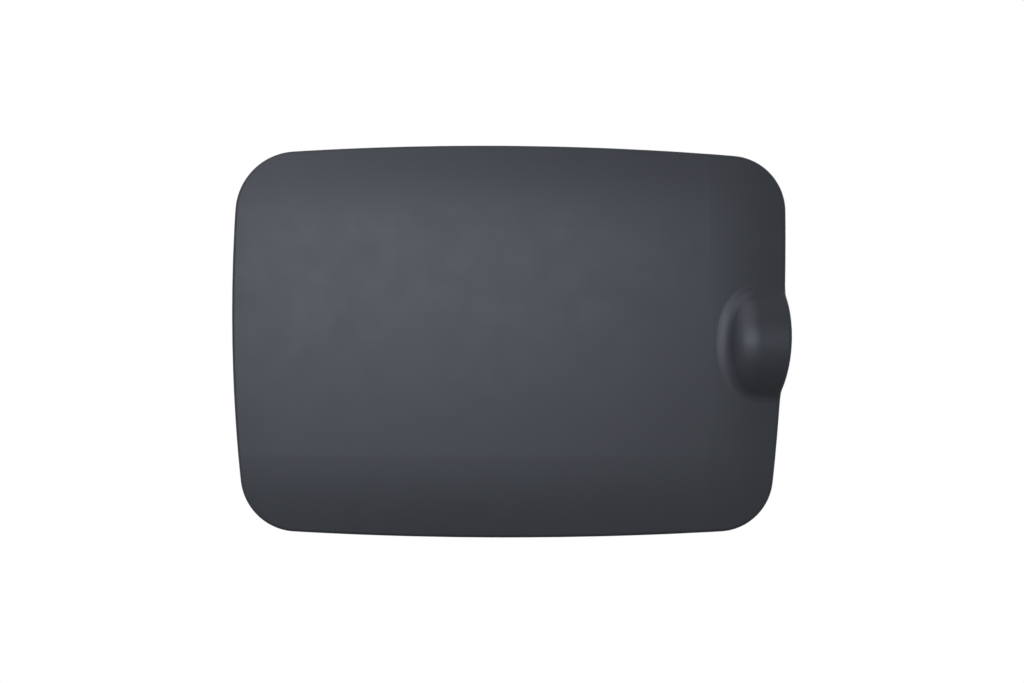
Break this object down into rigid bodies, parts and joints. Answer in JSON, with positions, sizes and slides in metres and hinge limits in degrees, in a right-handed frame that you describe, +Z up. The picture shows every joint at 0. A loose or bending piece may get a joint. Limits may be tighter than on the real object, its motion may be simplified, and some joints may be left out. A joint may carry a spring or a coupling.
{
  "type": "car fuel door",
  "caption": "Crowned moulded fuel flap with a hollow finger pull, on a side hinge with a sprung detent, folded bracket, lock eye and rubber buffers.",
  "frame": {"origin": "midway between the two mounting holes, on the back face of the hinge bracket's base", "axes": "+X from the hinge towards the finger pull, +Y into the car, +Z up; the flap is shut and its outer face looks along -Y"},
  "size_m": [0.1808, 0.036, 0.127],
  "materials": {
    "flap": "satin, faint grain",
    "arm": "matt glass-filled",
    "bush": "natural acetal",
    "zinc_sheet": "zinc plated",
    "zinc_screw": "zinc plated",
    "pin_steel": "ground",
    "spring_steel": "blued",
    "rubber": "matt"
  },
  "bodies": {
    "hinge_base": {"hinge_bracket": "zinc_sheet", "hinge_pin": "pin_steel", "pin_clip": "spring_steel", "wave_washer": "spring_steel", "leaf_spring": "spring_steel", "spring_rivets": "pin_steel"},
    "door": {"door_panel": "flap", "hinge_arm": "arm", "arm_screws": "zinc_screw", "bush_upper": "bush", "bush_lower": "bush", "lock_striker": "zinc_sheet", "striker_screws": "zinc_screw", "buffer_upper": "rubber", "buffer_lower": "rubber"}
  },
  "joints": [
    {"name": "door_hinge", "type": "hinge", "parent": "hinge_base", "child": "door", "pos_m": [-0.02, -0.019, 0], "axis": [0, 0, -1], "range_deg": [0, 95], "deforming": ["leaf_spring"]}
  ]
}
